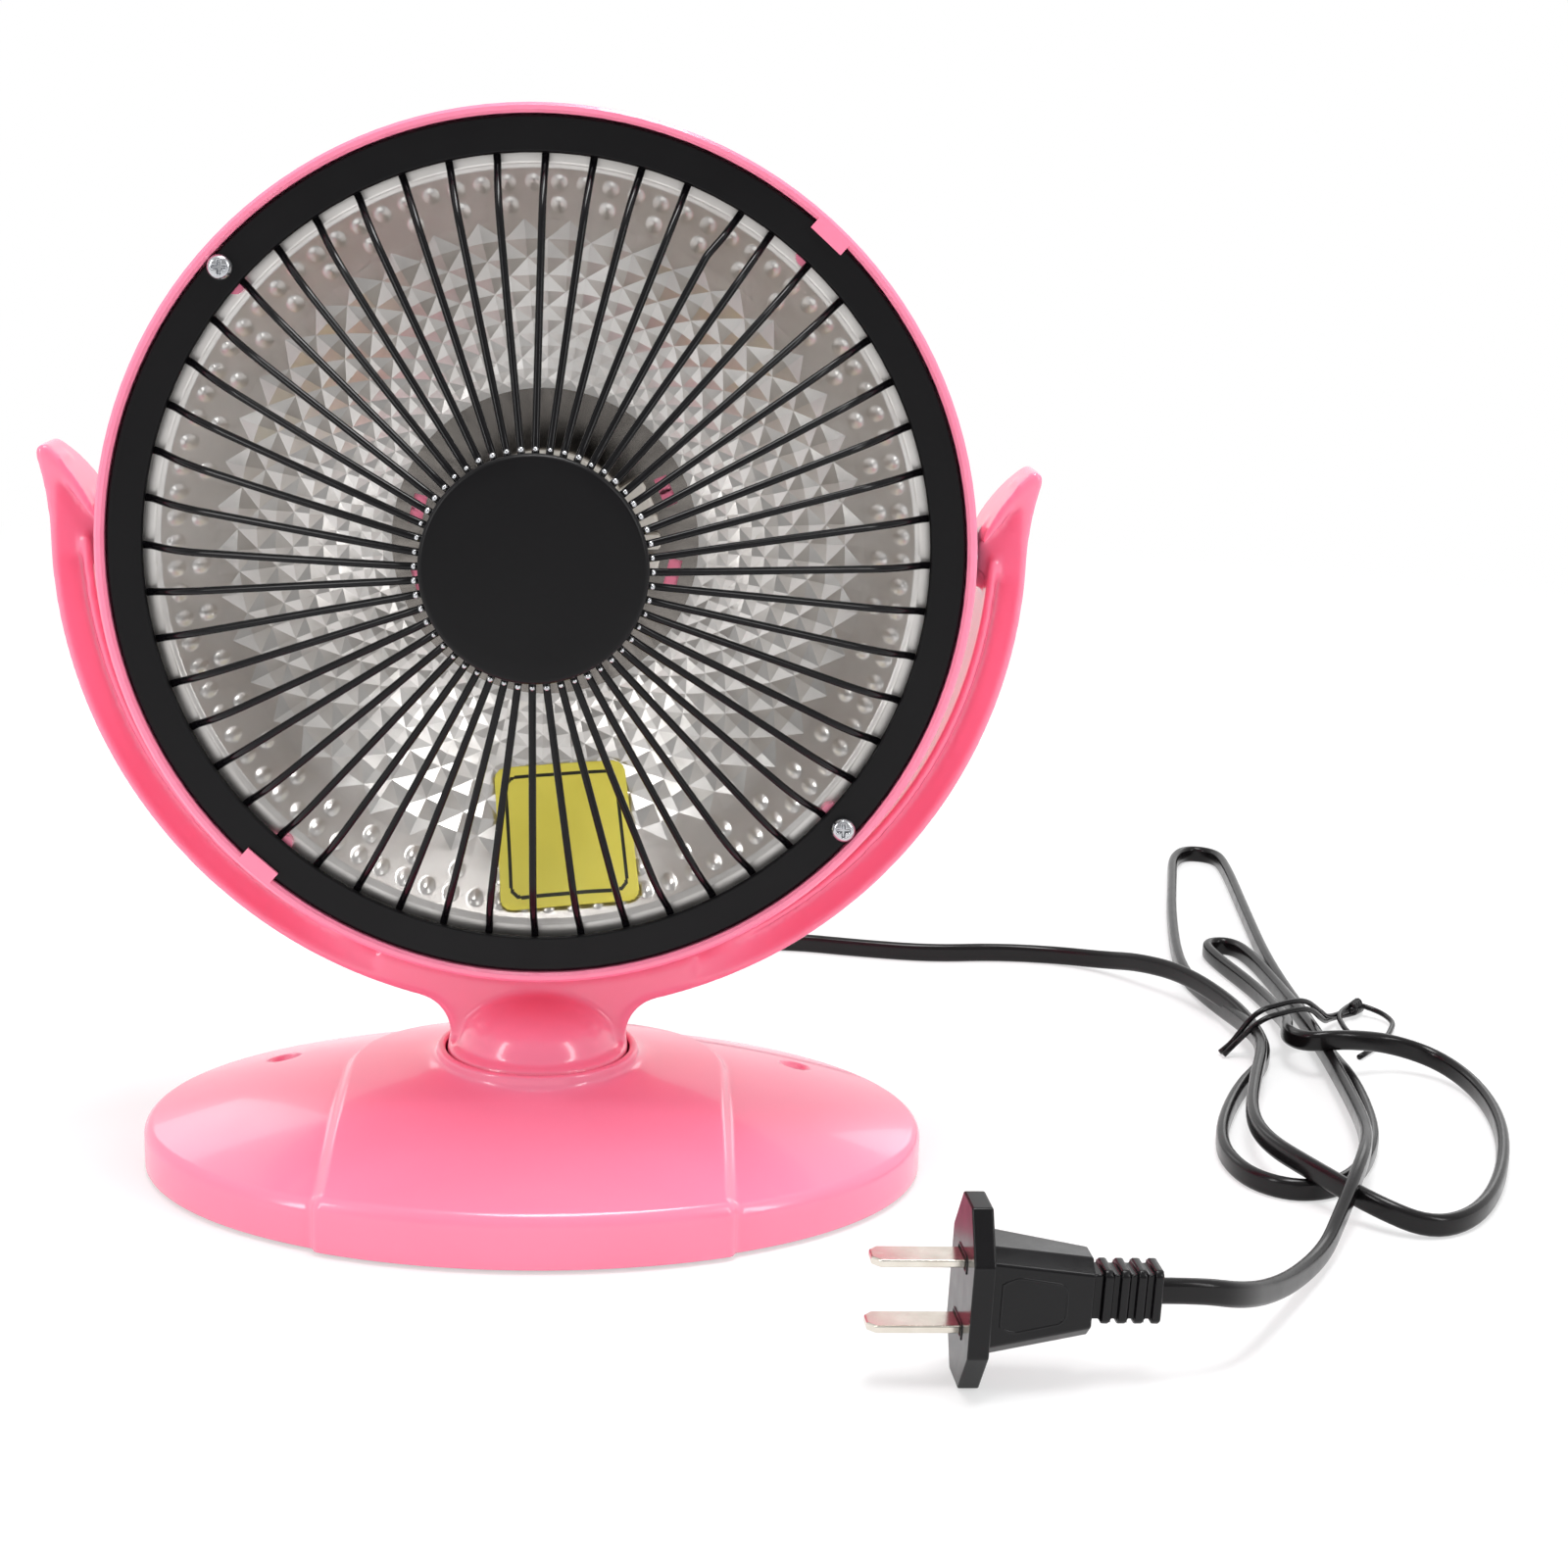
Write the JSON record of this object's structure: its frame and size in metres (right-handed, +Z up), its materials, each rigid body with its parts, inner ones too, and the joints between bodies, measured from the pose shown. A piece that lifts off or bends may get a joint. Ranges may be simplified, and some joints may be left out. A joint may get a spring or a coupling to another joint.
{
  "type": "fan heater",
  "caption": "Tabletop radiant dish heater: reflector and ceramic element behind a wire guard, in a round housing tilting in a crescent yoke on a swivelling oval foot, with cord and plug",
  "frame": {"origin": "on the table under the middle of the oval foot", "axes": "+Z up, the heater faces -Y, +X to its left as it faces out, the viewer's right"},
  "size_m": [0.3306, 0.3762, 0.2239],
  "materials": {
    "pink_plastic": "glossy moulded plastic, rose pink",
    "grey_plastic": "matte moulded plastic",
    "black_enamel": "gloss black enamel on pressed steel",
    "reflector_sheet": "embossed bright aluminium sheet",
    "zinc_steel": "zinc plated steel",
    "cast_weight": "bare cast iron",
    "white_ceramic": "unglazed white ceramic",
    "resistance_wire": "bare resistance wire",
    "foot_rubber": "matte rubber",
    "cord_sheath": "matte dark grey sheath",
    "lead_sheath": "braided lead sleeve",
    "tie_sheath": "thin black plastic over wire",
    "blade_brass": "plated brass",
    "black_plastic": "gloss black plastic"
  },
  "bodies": {
    "foot": {"foot_shell": "pink_plastic", "foot_cover": "grey_plastic", "foot_pads": "foot_rubber", "foot_screws": "zinc_steel", "counterweights": "cast_weight", "weight_screws": "zinc_steel", "tip_over_switch": "grey_plastic", "foot_leads": "lead_sheath", "cord_gland": "cord_sheath", "cord_relief": "cord_sheath", "cord_run": "cord_sheath", "cord_hank": "cord_sheath", "cord_lead": "cord_sheath", "twist_tie": "tie_sheath", "plug_body": "cord_sheath", "plug_blades": "blade_brass"},
    "yoke": {"yoke_front": "pink_plastic", "yoke_cover": "pink_plastic", "yoke_screws": "zinc_steel", "yoke_leads": "lead_sheath", "swivel_washer": "grey_plastic", "swivel_clip": "zinc_steel", "pivot_bushes": "zinc_steel", "pivot_washers": "grey_plastic", "pivot_clips": "zinc_steel", "pivot_caps": "pink_plastic"},
    "head": {"rear_housing": "pink_plastic", "guard_ring": "black_enamel", "guard_wires": "black_enamel", "hub_cap": "black_enamel", "hub_plate": "black_enamel", "hub_rivet": "zinc_steel", "ring_screws": "zinc_steel", "reflector": "reflector_sheet", "ceramic_former": "white_ceramic", "heating_coil": "resistance_wire", "element_bracket": "zinc_steel", "bracket_screws": "zinc_steel", "element_bolt": "zinc_steel", "element_nut": "zinc_steel", "terminal_block": "black_plastic", "thermal_cutout": "grey_plastic", "head_leads": "lead_sheath", "switch_case": "grey_plastic"},
    "rocker": {"rocker": "black_plastic"}
  },
  "joints": [
    {"name": "yoke_swivel", "type": "hinge", "parent": "foot", "child": "yoke", "pos_m": [0, 0.003, 0.0145], "axis": [0, 0, 1], "range_deg": [-45, 45]},
    {"name": "head_tilt", "type": "hinge", "parent": "yoke", "child": "head", "pos_m": [0, 0.0117, 0.13447], "axis": [1, 0, 0], "range_deg": [-30, 15]},
    {"name": "rocker_press", "type": "hinge", "parent": "head", "child": "rocker", "pos_m": [0, 0.04736, 0.11558], "axis": [1, 0, 0], "range_deg": [-18, 0]}
  ]
}
